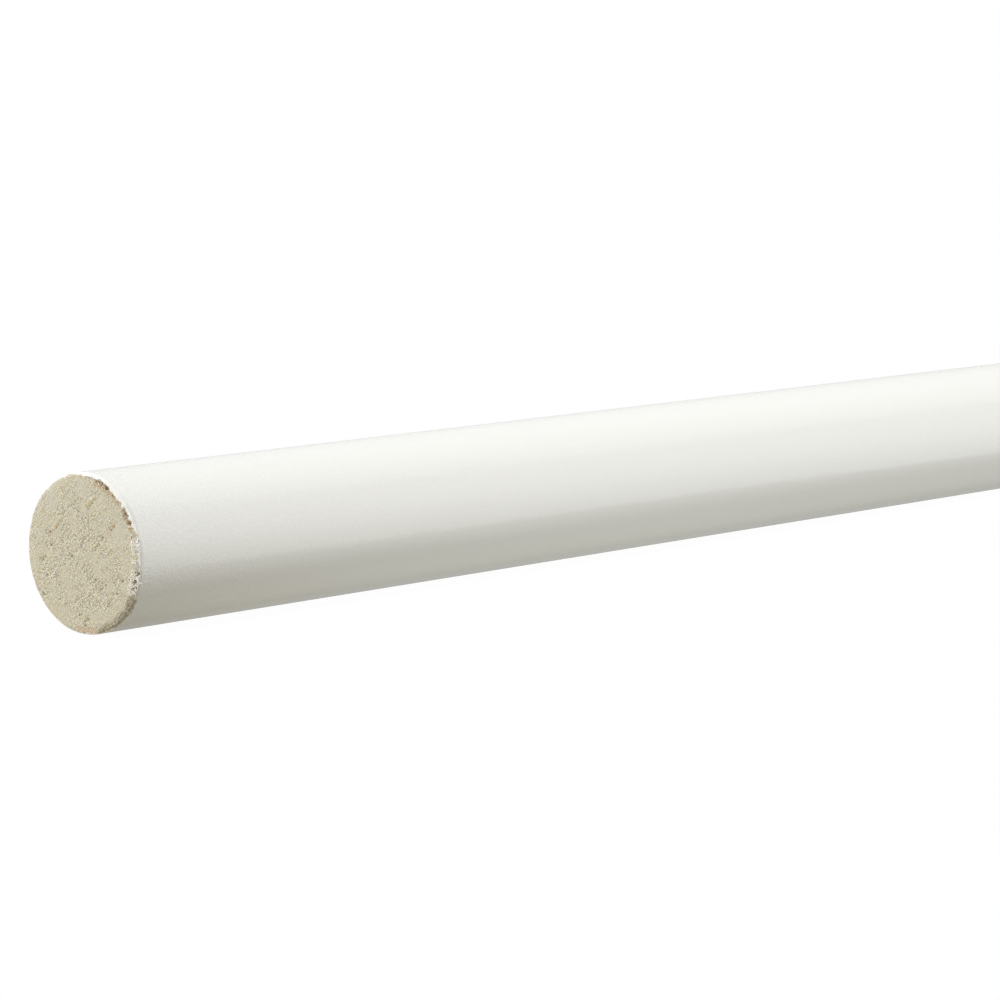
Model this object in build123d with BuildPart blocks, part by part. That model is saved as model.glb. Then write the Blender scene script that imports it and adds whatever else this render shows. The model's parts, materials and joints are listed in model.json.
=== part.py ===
"""A wooden dowel: one full-round length of painted stock, sawn square at both ends.

The dowel lies along X on the plane Z = 0, and the origin is under the middle of its length.
Sizes are in millimetres.
"""

import os

from build123d import *

# Driving dimensions
DIAMETER = 31.75  # 1 1/4 in full round
LENGTH = 914.4  # 36 in stock length
ARRIS = 0.3  # corner lost to the saw and to handling, round each sawn end

AXIS_HEIGHT = DIAMETER / 2  # the round side rests on Z = 0
LEFT_END = Plane.YZ.offset(-LENGTH / 2)

# The round section, run from the left sawn end to the right one
with BuildPart() as dowel:
    with BuildSketch(LEFT_END) as section:
        with Locations((0, AXIS_HEIGHT)):
            Circle(DIAMETER / 2)
    extrude(amount=LENGTH)

    # The two sawn rims, with their sharp corner taken off
    sawn_rims = dowel.edges().filter_by(GeomType.CIRCLE)
    chamfer(sawn_rims, length=ARRIS)

dowel.part.label = "dowel"

os.makedirs("parts", exist_ok=True)
export_step(dowel.part, "parts/dowel.step")
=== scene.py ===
"""Dresses a wooden dowel: satin white paint on its round side, bare sawn ends and a plain white studio.

The file is laid out as an add-on and run as a script. Sizes are in metres, and in millimetres where a
name ends in mm. The dowel lies along X on the floor, and its near end is at -X.
"""

import json
import math
from typing import NamedTuple

import bpy
import numpy as np
from bpy.props import FloatProperty, FloatVectorProperty, IntProperty, PointerProperty
from mathutils import Matrix, Vector, noise


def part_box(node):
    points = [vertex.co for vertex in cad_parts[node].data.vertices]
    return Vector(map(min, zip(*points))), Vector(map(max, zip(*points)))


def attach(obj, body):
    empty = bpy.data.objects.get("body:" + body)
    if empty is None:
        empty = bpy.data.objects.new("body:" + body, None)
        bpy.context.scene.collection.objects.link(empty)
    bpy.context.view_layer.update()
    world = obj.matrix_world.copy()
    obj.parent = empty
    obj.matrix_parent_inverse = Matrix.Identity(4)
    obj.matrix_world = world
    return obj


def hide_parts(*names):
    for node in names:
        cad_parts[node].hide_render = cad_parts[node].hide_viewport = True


bl_info = {
    "name": "Painted Wooden Dowel",
    "version": (1, 0, 0),
    "blender": (4, 5, 0),
    "location": "3D View > Sidebar > Dowel",
    "description": "Dresses a dowel with satin white paint, bare sawn ends and a plain white studio",
    "category": "Add Mesh",
}

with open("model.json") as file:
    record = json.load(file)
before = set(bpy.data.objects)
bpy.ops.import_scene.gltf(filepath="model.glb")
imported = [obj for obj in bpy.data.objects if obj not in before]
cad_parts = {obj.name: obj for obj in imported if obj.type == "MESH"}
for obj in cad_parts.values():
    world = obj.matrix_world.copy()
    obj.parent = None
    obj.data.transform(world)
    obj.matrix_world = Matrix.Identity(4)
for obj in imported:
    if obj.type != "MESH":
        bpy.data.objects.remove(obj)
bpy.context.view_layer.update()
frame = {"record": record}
STOCK_LOW, STOCK_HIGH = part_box("dowel")
ROUND_SIDE = next(m for m in frame["record"]["mounts"] if m["name"] == "round_side")

MM = 0.001
RADIUS_MM = ROUND_SIDE["dims"]["r_mm"]
AXIS_HEIGHT_MM = ROUND_SIDE["pos_m"][2] / MM
PICTURE_SIDE = 1000  # pixels along each side of the square picture


# Settings that a user would change


class DowelStockSettings(bpy.types.PropertyGroup):
    """The dowel's sizes and how finely its mesh follows them."""

    length: FloatProperty(
        name="Length",
        description="From one sawn end to the other",
        default=STOCK_HIGH.x - STOCK_LOW.x,
        unit="LENGTH",
    )
    diameter: FloatProperty(
        name="Diameter",
        description="Across the painted side",
        default=2 * RADIUS_MM * MM,
        unit="LENGTH",
    )
    rings: IntProperty(
        name="Rings",
        description="Rings of vertices along the dowel, an odd number so that one is at its middle",
        default=91,
    )
    end_squares: IntProperty(
        name="End Squares",
        description="Squares across a sawn end, an even number; the rim has four times as many sides",
        default=128,
    )
    end_step: FloatProperty(
        name="End Step",
        description="From a rim to the next ring; further along, the rings stand wider and wider apart",
        default=0.15 * MM,
        unit="LENGTH",
    )


class DowelFinishSettings(bpy.types.PropertyGroup):
    """The colours of the paint and of the sawn wood, and the depth of their relief."""

    paint: FloatVectorProperty(
        name="Paint",
        description="The white of the painted side",
        default=(0.89, 0.886, 0.845),
        subtype="COLOR",
        size=3,
    )
    paint_roughness: FloatProperty(
        name="Paint Roughness",
        description="How far the satin paint blurs what it reflects",
        default=0.08,
        subtype="FACTOR",
    )
    wood: FloatVectorProperty(
        name="Sawn Wood",
        description="The mean colour of a sawn end",
        default=(0.568, 0.532, 0.423),
        subtype="COLOR",
        size=3,
    )
    grit_depth: FloatProperty(
        name="Grit Depth",
        description="From the highest to the lowest of the grit that the saw leaves",
        default=0.16 * MM,
        unit="LENGTH",
    )


class DowelStudioSettings(bpy.types.PropertyGroup):
    """Where the camera stands and how bright the lamps are."""

    lens: FloatProperty(
        name="Lens",
        description="Focal length in millimetres on a 36 mm sensor",
        default=139.65,
    )
    heading: FloatProperty(
        name="Heading",
        description="From the dowel's own direction to the way the camera faces, seen from above",
        default=math.radians(40.73),
        subtype="ANGLE",
    )
    pitch: FloatProperty(
        name="Pitch",
        description="How far the camera looks down",
        default=math.radians(6.977),
        subtype="ANGLE",
    )
    end_distance: FloatProperty(
        name="End Distance",
        description="From the camera to the near end's middle, along the way the camera faces",
        default=0.75187,
        unit="LENGTH",
    )
    end_pixel: FloatVectorProperty(
        name="End Pixel",
        description="Where the near end's middle is in the picture, right and down from its corner",
        default=(83.42, 553.74),
        size=2,
    )
    back_power: FloatProperty(
        name="Back Power",
        description="Watts of the strip lamp behind the dowel",
        default=8.53,
    )
    top_power: FloatProperty(
        name="Top Power",
        description="Watts of the strip lamp above the dowel",
        default=1.97,
    )
    slant_power: FloatProperty(
        name="Slant Power",
        description="Watts of the strip lamp above the dowel and a little in front of it",
        default=17.5,
    )
    front_power: FloatProperty(
        name="Front Power",
        description="Watts of the low strip lamp in front of the dowel",
        default=8.02,
    )
    end_power: FloatProperty(
        name="End Power",
        description="Watts of the square lamp that rakes across the near end",
        default=37.0,
    )


# Building node trees


class Nodes:
    """Adds nodes to one tree, and sets or links their inputs as they are added."""

    def __init__(self, tree):
        self.tree = tree

    def add(self, kind, inputs=(), **settings):
        node = self.tree.nodes.new(kind)
        for name, value in settings.items():
            setattr(node, name, value)
        for key, value in dict(inputs).items():
            self.feed(node.inputs[key], value)
        return node

    def feed(self, socket, value):
        if isinstance(value, bpy.types.NodeSocket):
            self.tree.links.new(value, socket)
        else:
            socket.default_value = value

    def math(self, operation, *values):
        return self.add("ShaderNodeMath", enumerate(values), operation=operation).outputs[0]

    def vector(self, operation, *values):
        return self.add("ShaderNodeVectorMath", enumerate(values), operation=operation).outputs[0]

    def scaled(self, vector, factor):
        node = self.add("ShaderNodeVectorMath", {"Vector": vector, "Scale": factor}, operation="SCALE")
        return node.outputs["Vector"]

    def combine(self, x=0.0, y=0.0, z=0.0):
        return self.add("ShaderNodeCombineXYZ", {"X": x, "Y": y, "Z": z}).outputs[0]

    def separate(self, vector):
        return self.add("ShaderNodeSeparateXYZ", {"Vector": vector}).outputs

    def ramp(self, value, low, high, to_low=0.0, to_high=1.0):
        ends = {"Value": value, "From Min": low, "From Max": high, "To Min": to_low, "To Max": to_high}
        return self.add("ShaderNodeMapRange", ends, interpolation_type="SMOOTHSTEP").outputs["Result"]

    def mix(self, share, first, second):
        return self.add("ShaderNodeMix", {0: share, 2: first, 3: second}, data_type="FLOAT").outputs[0]

    def blend(self, share, first, second):
        return self.add("ShaderNodeMix", {0: share, 6: first, 7: second}, data_type="RGBA").outputs[2]

    def noise(self, vector, detail=2.0, rough=0.5):
        ends = {"Vector": vector, "Scale": 1.0, "Detail": detail, "Roughness": rough}
        return self.add("ShaderNodeTexNoise", ends).outputs["Fac"]


def new_group(name, kind, inputs, outputs):
    """A node group with these named sockets, its builder, and its input and output nodes."""
    tree = bpy.data.node_groups.new(name, kind)
    for label, socket, default in inputs:
        made = tree.interface.new_socket(label, in_out="INPUT", socket_type=socket)
        if default is not None:
            made.default_value = default
    for label, socket in outputs:
        tree.interface.new_socket(label, in_out="OUTPUT", socket_type=socket)
    nodes = Nodes(tree)
    return nodes, nodes.add("NodeGroupInput").outputs, nodes.add("NodeGroupOutput").inputs


# The pattern of a sawn end, which its relief and its colour both follow

SAW_ANGLE = math.radians(43)  # the way the saw dragged the fibres, up from the picture's right
END_APART_MM = 60.0  # keeps the two ends' patterns apart
# How closely each pattern repeats, along the saw's drag, across it and from end to end
TORN_PER_MM = 0.33
GRIT_PER_MM = (1.6, 2.4, 1.0)
STREAKS_PER_MM = (0.5, 2.0, 1.0)
PITS_PER_MM = 0.6
TORN_LEVELS = (0.36, 0.62)  # the noise where a torn patch begins, and where it is torn most
QUIET_RIM_MM = (0.64 * RADIUS_MM, 0.9 * RADIUS_MM)  # where the tearing starts to ease off, and has
QUIET_SHARE = 0.35  # the share of it that is left by the rim
GRIT_WEIGHT = 0.75
STREAKS_WEIGHT = 0.45
RELIEF_GAIN = (0.5, 1.8)  # on sound wood and on torn wood
PIT_EDGE = (0.05, 0.14)  # how far from its middle a pit starts to rise, and ends
PIT_CHOICE = (0.80, 0.90)  # the draw above which a place has a pit


def saw_coordinates(nodes, position):
    """Places on a sawn end in millimetres: along the saw's drag, across it, and which end it is."""
    x, y, z = nodes.separate(nodes.scaled(position, 1 / MM))
    right = nodes.math("MULTIPLY", y, -1.0)
    up = nodes.math("SUBTRACT", z, AXIS_HEIGHT_MM)
    cosine, sine = math.cos(SAW_ANGLE), math.sin(SAW_ANGLE)
    along = nodes.math("ADD", nodes.math("MULTIPLY", right, cosine), nodes.math("MULTIPLY", up, sine))
    across = nodes.math("SUBTRACT", nodes.math("MULTIPLY", up, cosine), nodes.math("MULTIPLY", right, sine))
    end = nodes.math("MULTIPLY", nodes.math("SIGN", x), END_APART_MM)
    return nodes.combine(along, across, end)


def torn_patches(nodes, places):
    """Where the saw tore the fibres most: in patches a few millimetres across, and less by the rim."""
    patches = nodes.ramp(nodes.noise(nodes.scaled(places, TORN_PER_MM), detail=1.0), *TORN_LEVELS)
    flat = nodes.vector("MULTIPLY", places, (1.0, 1.0, 0.0))
    radius = nodes.add("ShaderNodeVectorMath", {0: flat}, operation="LENGTH").outputs["Value"]
    return nodes.math("MULTIPLY", patches, nodes.ramp(radius, *QUIET_RIM_MM, 1.0, QUIET_SHARE))


def relief(nodes, places):
    """The height of the crumbly grit and of the fibres that the saw dragged, deepest where it tore."""
    grit = nodes.noise(nodes.vector("MULTIPLY", places, GRIT_PER_MM), detail=4.0, rough=0.7)
    streaks = nodes.noise(nodes.vector("MULTIPLY", places, STREAKS_PER_MM))
    streaky = nodes.math("MULTIPLY", nodes.math("SUBTRACT", streaks, 0.5), STREAKS_WEIGHT)
    height = nodes.math("MULTIPLY_ADD", nodes.math("SUBTRACT", grit, 0.5), GRIT_WEIGHT, streaky)
    gain = nodes.mix(torn_patches(nodes, places), *RELIEF_GAIN)
    return nodes.math("MULTIPLY_ADD", height, gain, 0.5)


def pits(nodes, places):
    """Small holes that the saw tore out."""
    cells = nodes.add("ShaderNodeTexVoronoi", {"Vector": places, "Scale": PITS_PER_MM, "Randomness": 1.0})
    torn = nodes.ramp(cells.outputs["Distance"], *PIT_EDGE, 1.0, 0.0)
    chosen = nodes.ramp(nodes.separate(cells.outputs["Color"])[0], *PIT_CHOICE)
    return nodes.math("MULTIPLY", torn, chosen)


# The bar itself

RING_SPREAD = 4.0  # the power of the distance by which the rings stand wider apart
WELD = 0.02 * MM  # the sides of the bar and of its ends are joined where they are this close
GRIT_TOP = 0.8  # the relief that is level with the end of the bar
PIT_DEPTH = 0.8  # against the depth of the grit
ALL_SAWN = 0.99  # a face has more than this if all its corners are on a sawn end


def stock_tree():
    """A round bar along X whose rings crowd towards its ends, closed by two discs of even squares."""
    inputs = (
        ("Length", "NodeSocketFloat", 1.0),
        ("Radius", "NodeSocketFloat", 0.01),
        ("Axis Height", "NodeSocketFloat", 0.01),
        ("Rings", "NodeSocketInt", 51),
        ("End Squares", "NodeSocketInt", 32),
        ("End Step", "NodeSocketFloat", 0.001),
        ("Grit Depth", "NodeSocketFloat", 0.0),
        ("Paint", "NodeSocketMaterial", None),
        ("Sawn Wood", "NodeSocketMaterial", None),
    )
    outputs = (("Geometry", "NodeSocketGeometry"),)
    nodes, given, result = new_group("Sawn Round Stock", "GeometryNodeTree", inputs, outputs)
    nodes.tree.is_modifier = True
    lift = nodes.combine(z=given["Axis Height"])

    side = side_of_stock(nodes, given)
    near = nodes.add("GeometryNodeFlipFaces", {"Mesh": end_of_stock(nodes, given, -0.5)}).outputs["Mesh"]
    far = end_of_stock(nodes, given, 0.5)
    joined = nodes.add("GeometryNodeJoinGeometry")
    for part in (side, near, far):
        nodes.feed(joined.inputs[0], part)
    welded = nodes.add("GeometryNodeMergeByDistance", {"Geometry": joined.outputs[0], "Distance": WELD})
    raised = nodes.add("GeometryNodeSetPosition", {"Geometry": welded.outputs[0], "Offset": lift})

    # The sawn ends sink under their grit and pits, and nothing stands out past the bar's length
    places = saw_coordinates(nodes, nodes.add("GeometryNodeInputPosition").outputs[0])
    low_grit = nodes.math("SUBTRACT", GRIT_TOP, relief(nodes, places))
    torn_out = nodes.math("MULTIPLY", pits(nodes, places), PIT_DEPTH)
    depth = nodes.math("ADD", nodes.math("MAXIMUM", low_grit, 0.0), torn_out)
    depth = nodes.math("MULTIPLY", depth, given["Grit Depth"])
    x = nodes.separate(nodes.add("GeometryNodeInputPosition").outputs[0])[0]
    inwards = nodes.math("MULTIPLY", nodes.math("SIGN", x), nodes.math("MULTIPLY", depth, -1.0))
    sawn = nodes.add("GeometryNodeInputNamedAttribute", {"Name": "sawn"}, data_type="FLOAT").outputs[0]
    offset = nodes.combine(x=nodes.math("MULTIPLY", inwards, sawn))
    gritty = nodes.add("GeometryNodeSetPosition", {"Geometry": raised.outputs[0], "Offset": offset})

    smooth = nodes.add("GeometryNodeSetShadeSmooth", {"Geometry": gritty.outputs[0]})
    real = nodes.add("GeometryNodeRealizeInstances", {"Geometry": smooth.outputs[0]})
    painted = nodes.add("GeometryNodeSetMaterial", {
        "Geometry": real.outputs[0],
        "Material": given["Paint"],
    })
    on_end = nodes.add("FunctionNodeCompare", {
        "A": sawn,
        "B": ALL_SAWN,
    }, operation="GREATER_THAN", data_type="FLOAT")
    bare = nodes.add("GeometryNodeSetMaterial", {
        "Geometry": painted.outputs[0],
        "Selection": on_end.outputs[0],
        "Material": given["Sawn Wood"],
    })
    nodes.feed(result["Geometry"], bare.outputs[0])
    return nodes.tree


def side_of_stock(nodes, given):
    """The round side: a circle swept along a line whose points crowd towards both ends."""
    line = nodes.add("GeometryNodeCurvePrimitiveLine")
    points = nodes.add("GeometryNodeResampleCurve", {"Curve": line.outputs[0], "Count": given["Rings"]})
    share = nodes.add("GeometryNodeSplineParameter").outputs["Factor"]
    signed = nodes.math("MULTIPLY_ADD", share, 2.0, -1.0)
    inwards = nodes.math("SUBTRACT", 1.0, nodes.math("ABSOLUTE", signed))
    half = nodes.math("MULTIPLY", given["Length"], 0.5)
    even = nodes.math("MULTIPLY", nodes.math("SUBTRACT", given["Rings"], 1.0), 0.5)
    even = nodes.math("MULTIPLY", even, given["End Step"])
    spare = nodes.math("SUBTRACT", half, even)
    widening = nodes.math("MULTIPLY", spare, nodes.math("POWER", inwards, RING_SPREAD))
    from_end = nodes.math("MULTIPLY_ADD", even, inwards, widening)
    along = nodes.math("MULTIPLY", nodes.math("SIGN", signed), nodes.math("SUBTRACT", half, from_end))
    place = nodes.combine(x=along)
    placed = nodes.add("GeometryNodeSetPosition", {"Geometry": points.outputs[0], "Position": place})
    sides = nodes.math("MULTIPLY", given["End Squares"], 4.0)
    circle = nodes.add("GeometryNodeCurvePrimitiveCircle", {"Resolution": sides, "Radius": given["Radius"]})
    swept = nodes.add("GeometryNodeCurveToMesh", {
        "Curve": placed.outputs[0],
        "Profile Curve": circle.outputs["Curve"],
        "Fill Caps": False,
    })
    return swept.outputs[0]


def end_of_stock(nodes, given, share):
    """One end: a square grid drawn out to a disc, so that its squares stay even up to the rim."""
    count = nodes.math("ADD", given["End Squares"], 1.0)
    grid = nodes.add("GeometryNodeMeshGrid", {
        "Size X": 2.0,
        "Size Y": 2.0,
        "Vertices X": count,
        "Vertices Y": count,
    })
    a, b, _ = nodes.separate(nodes.add("GeometryNodeInputPosition").outputs[0])
    wide = nodes.math("GREATER_THAN", nodes.math("ABSOLUTE", a), nodes.math("ABSOLUTE", b))
    major = nodes.mix(wide, b, a)
    minor = nodes.mix(wide, a, b)
    turn = nodes.math("MULTIPLY", nodes.math("DIVIDE", minor, major), math.pi / 4)
    straight = nodes.math("MULTIPLY", nodes.math("COSINE", turn), major)
    aside = nodes.math("MULTIPLY", nodes.math("SINE", turn), major)
    x = nodes.math("MULTIPLY", given["Length"], share)
    y = nodes.math("MULTIPLY", nodes.mix(wide, aside, straight), given["Radius"])
    z = nodes.math("MULTIPLY", nodes.mix(wide, straight, aside), given["Radius"])
    place = nodes.combine(x, y, z)
    disc = nodes.add("GeometryNodeSetPosition", {"Geometry": grid.outputs["Mesh"], "Position": place})
    marked = nodes.add("GeometryNodeStoreNamedAttribute", {
        "Geometry": disc.outputs[0],
        "Name": "sawn",
        "Value": 1.0,
    }, data_type="FLOAT", domain="POINT")
    return marked.outputs[0]


def evaluated_mesh(tree, values, name, base=None):
    """The plain mesh that a geometry tree makes from these inputs, with no modifier left."""
    holder = bpy.data.objects.new(name, base or bpy.data.meshes.new(name))
    bpy.context.scene.collection.objects.link(holder)
    modifier = holder.modifiers.new(tree.name, "NODES")
    modifier.node_group = tree
    for socket in tree.interface.items_tree:
        if socket.in_out == "INPUT" and socket.name in values:
            modifier[socket.identifier] = values[socket.name]
    graph = bpy.context.evaluated_depsgraph_get()
    mesh = bpy.data.meshes.new_from_object(
        holder.evaluated_get(graph), preserve_all_data_layers=True, depsgraph=graph
    )
    bpy.data.objects.remove(holder)
    if not mesh.polygons:
        raise RuntimeError(f"{tree.name} made no faces")
    if mesh.materials[0] is None:
        mesh.materials.pop(index=0)  # the slot of the empty mesh that the tree began with
    return mesh


# Wear round the rims, as angles counter-clockwise from the right, seen from outside that end


class RimWear(NamedTuple):
    """What happened to one stretch of a rim; places across it count from its corner onto the sawn end."""

    start: float
    stop: float
    corner_mm: float  # the radius that the corner wore to
    paint_mm: float  # where the paint stops, which is over the corner if above zero
    mark: str  # the attribute that tints it
    middle_mm: float  # where the tint is strongest
    reach_mm: float  # how far the tint goes to each side
    crumble: float  # how deeply it is holed, from 0 to 1


NEAR_RIM = (
    RimWear(22, 78, corner_mm=1.00, paint_mm=0.85,
            mark="chipped", middle_mm=1.25, reach_mm=1.05, crumble=1.0),
    RimWear(78, 96, corner_mm=0.95, paint_mm=0.55,
            mark="scuffed", middle_mm=0.60, reach_mm=0.20, crumble=0.0),
    RimWear(-28, 16, corner_mm=0.90, paint_mm=0.20,
            mark="torn", middle_mm=1.00, reach_mm=2.30, crumble=1.0),
    # The crushed bevel is tinted darker, partly for its bruised wood and partly as painted shade on its
    # downward slope
    RimWear(-75, -27, corner_mm=1.50, paint_mm=-0.90,
            mark="crushed", middle_mm=-0.10, reach_mm=1.40, crumble=0.45),
    RimWear(-100, -79, corner_mm=0.60, paint_mm=-0.10,
            mark="scuffed", middle_mm=0.80, reach_mm=0.90, crumble=0.2),
    RimWear(98, 132, corner_mm=0.95, paint_mm=-0.05,
            mark="scuffed", middle_mm=-0.60, reach_mm=0.30, crumble=0.0),
)
FAR_RIM = (
    RimWear(110, 170, corner_mm=0.70, paint_mm=0.20,
            mark="chipped", middle_mm=0.60, reach_mm=0.40, crumble=0.3),
)
# The marks of wear and of painted shade, each an attribute of the mesh between 0 and 1
MARKS = ("chipped", "torn", "crushed", "scuffed", "fleck", "hollow", "loose", "pale", "burnished")
WORN_LENGTH_MM = 8.0  # how far wear goes along the side
WORN_WIDTH_MM = 3.0  # how far it goes onto the sawn end
WORN_SOFT_DEG = 8.0  # how softly a stretch of it ends
PAINT_COAT_MM = 0.09
PLAIN_CORNER_MM = 0.5
PLAIN_UNEVEN = 0.25  # the share by which lumps change the radius of a plain corner
WORN_UNEVEN = 0.3  # and that of a worn one
COARSE_LUMP_MM = 1.6
FINE_LUMP_MM = 0.5
BREAK_LUMP_MM = 0.9
# How far the paint's edge waves on a plain rim and on a worn one, and how much more on a crumbled one
PLAIN_WAVE_MM = 0.05
WORN_WAVE_MM = 0.35
CRUMBLED_WAVE_MM = 0.55
MARK_EDGE = 1.5  # how sharply a mark ends across the rim
BROKEN_ABOVE = 0.5  # a mark that crumbles more than this is broken up
BREAK_GAIN = 1.1
HOLE_LUMP_MM = 0.45
SMALL_HOLE_LUMP_MM = 0.22
HOLE_BIAS = 0.2  # how much more of a crumbled rim is hole than isn't
SMALL_HOLE_SHARE = 0.6
HOLE_DEPTH_MM = 0.45
HOLLOW_SHADE_LEVEL = 0.35  # a hole half this deep starts to get painted shade
STRIPPED_EDGE_MM = 0.12  # how wide the slope is from the paint's coat down to bare wood
STRIPPED_REACH_MM = 1.6  # how far onto the sawn end the wood lies lower
STRIPPED_FADE_MM = 0.6  # over how much of that it rises again
BARE_INSIDE_MM = 2.5  # further in from the rim than this, all is bare wood
LOOSE_INSIDE_MM = 1.2  # further in than this, crumbs lie loose


class Fleck(NamedTuple):
    """A fleck or scratch along the saw's drag: its middle, its length and how strong its tint is."""

    right_mm: float
    up_mm: float
    length_mm: float
    strength: float


NEAR_FLECKS = (
    Fleck(2.0, 10.1, 3.2, 1.0),
    Fleck(-7.1, 5.4, 3.6, 0.9),
    Fleck(5.1, -5.8, 2.6, 0.8),
    Fleck(8.1, 6.1, 2.2, 1.0),
    Fleck(-11.8, -1.7, 2.2, 0.9),
    Fleck(-0.4, 2.3, 1.8, 0.7),
    Fleck(3.3, 1.6, 1.8, 0.8),
    Fleck(5.7, -2.3, 2.0, 0.6),
    Fleck(0.5, -12.6, 2.4, 0.8),
    Fleck(1.4, -7.8, 1.6, 0.6),
    Fleck(-2.3, -9.1, 1.6, 0.6),
)


class Spot(NamedTuple):
    """A round place on a sawn end: where its middle is, and its radius."""

    right_mm: float
    up_mm: float
    radius_mm: float


# Where fibres tore out, on the near end's face and then in its worn rim
NEAR_PITS = (
    Spot(-9.5, 3.5, 0.28),
    Spot(-10.4, -5.1, 0.25),
    Spot(-11.6, -8.9, 0.34),
    Spot(9.2, -7.0, 0.25),
    Spot(-2.1, -3.6, 0.22),
    Spot(5.3, 3.7, 0.30),
    Spot(3.2, -4.9, 0.28),
    Spot(10.8, -4.4, 0.28),
    Spot(-1.4, -12.1, 0.26),
    Spot(0.3, -14.0, 0.30),
    Spot(-3.3, -0.8, 0.26),
    Spot(-5.4, -2.6, 0.24),
    Spot(1.9, -4.5, 0.20),
    Spot(5.1, 14.0, 0.45),
    Spot(6.5, 13.2, 0.50),
    Spot(11.8, 8.7, 0.45),
    Spot(11.6, 7.9, 0.35),
    Spot(12.7, 7.0, 0.40),
    Spot(14.1, -4.2, 0.45),
    Spot(13.6, -5.6, 0.35),
)
# Where the saw's teeth rubbed the fibres smooth and grey
NEAR_BURNISHED = (
    Spot(-8.7, 9.6, 2.8),
    Spot(-0.8, 12.4, 2.2),
    Spot(9.9, 4.4, 3.0),
)
# Where a tooth scratched the fibres pale
NEAR_SCRATCHES = (
    Fleck(-8.7, -4.6, 3.0, 1.0),
    Fleck(2.6, 11.2, 1.6, 0.9),
    Fleck(-6.6, 6.6, 1.4, 0.8),
    Fleck(7.3, 6.9, 1.5, 0.8),
)


class Line(NamedTuple):
    """A line that the saw leaves along a fleck or a scratch."""

    above_mm: float  # how far it lies above the middle
    half_width_mm: float
    height_mm: float  # how far it stands out, or in where it is below zero
    whole: float  # how whole it is
    ragged: float  # how much its raggedness breaks it


RIDGE = Line(above_mm=0.05, half_width_mm=0.50, height_mm=0.10, whole=0.65, ragged=1.1)
GROOVE = Line(above_mm=-0.42, half_width_mm=0.20, height_mm=-0.20, whole=0.75, ragged=1.2)
SCRATCH = Line(above_mm=0.0, half_width_mm=0.18, height_mm=0.08, whole=0.9, ragged=1.0)
LINE_REACH = 0.6  # the share of its length that a line goes to each side
FLECK_END = 1.6  # how sharply a fleck ends along its line
FLECK_END_RAGGED = 0.7
SCRATCH_END = 2.0
SCRATCH_WANDER = 0.5  # how much a scratch wanders beside a fleck
RUBBED_EDGE = 1.6  # how sharply a rubbed patch ends
RUBBED_WANDER = 0.5
RAGGED_LUMP_MM = 0.55
SMALL_RAGGED_LUMP_MM = 0.3
SMALL_RAGGED_SHARE = 0.7
WANDER_MM = 0.25
WANDER_LUMP_MM = 1.1
FACE_DEPTH_MM = 0.6  # points this close to the bar's end are on its face
FACE_MARGIN_MM = 0.3  # unless they are this close to its rim


def smoothstep(value):
    value = np.clip(value, 0.0, 1.0)
    return value * value * (3.0 - 2.0 * value)


def along_stretch(angle, wear):
    """One inside the stretch, falling to nothing over a few degrees past its ends."""
    middle = (wear.start + wear.stop) / 2
    away = np.abs((angle - middle + 180.0) % 360.0 - 180.0)
    return smoothstep(((wear.stop - wear.start + WORN_SOFT_DEG) / 2 - away) / WORN_SOFT_DEG)


def lumps(places, size_mm, seed):
    """Smooth noise between -1 and 1 at each place, with lumps of about this size."""
    shift = Vector((seed * 17.3, seed * 5.1, seed * 11.7))
    return np.array([noise.noise(Vector(place) / size_mm + shift) for place in places.tolist()])


def raise_mark(mark, chosen, values):
    """Strengthens a mark at the chosen points, unless it is stronger there already."""
    mark[chosen] = np.maximum(mark[chosen], values)


def round_corner(depth, inset, corner):
    """Makes a square corner a round of its own radius; what lay below the corner stays as far below."""
    side = depth > inset
    share = np.where(side, depth, inset) / corner
    below = np.where(side, inset, depth)
    turn = np.radians(np.where(side, 45.0 * (1.0 - share), 45.0 + 45.0 * share))
    worn = share < 1.0
    turn = np.where(worn, turn, np.where(side, 0.0, math.pi / 2))
    inset = np.where(worn, corner - (corner - below) * np.cos(turn), inset)
    depth = np.where(worn, corner - (corner - below) * np.sin(turn), depth)
    return depth, inset, turn


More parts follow.
